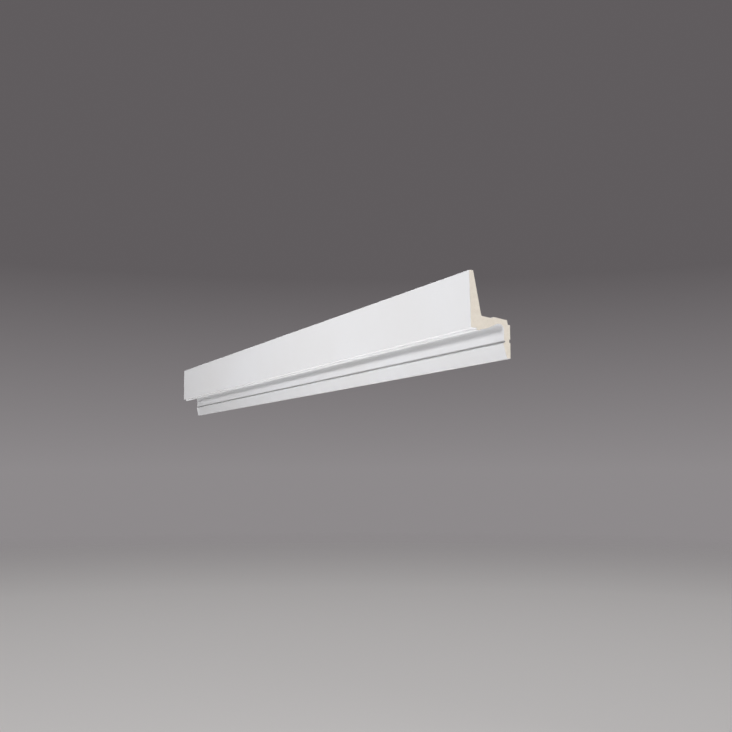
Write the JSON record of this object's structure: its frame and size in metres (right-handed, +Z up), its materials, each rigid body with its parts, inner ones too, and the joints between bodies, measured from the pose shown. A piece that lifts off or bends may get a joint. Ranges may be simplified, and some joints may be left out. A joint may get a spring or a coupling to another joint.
{
  "type": "cornice moulding length",
  "caption": "Hard-foam cornice length: a tall flat lip hides a light trough, over an ogee underside and a grooved wall leg; one end cut square, the other mitred for an inside corner.",
  "frame": {"origin": "on the wall face, in the middle of the lower bonding band, half way along the length", "axes": "+X along the wall towards the square-cut end, +Y into the wall, +Z up to the ceiling"},
  "size_m": [1.7, 0.08, 0.14],
  "materials": {
    "primed_foam": "hard polyurethane foam with a matt white primer coat, bare cream foam on the two sawn ends"
  },
  "bodies": {
    "root": {"cornice_moulding": "primed_foam"}
  },
  "joints": []
}
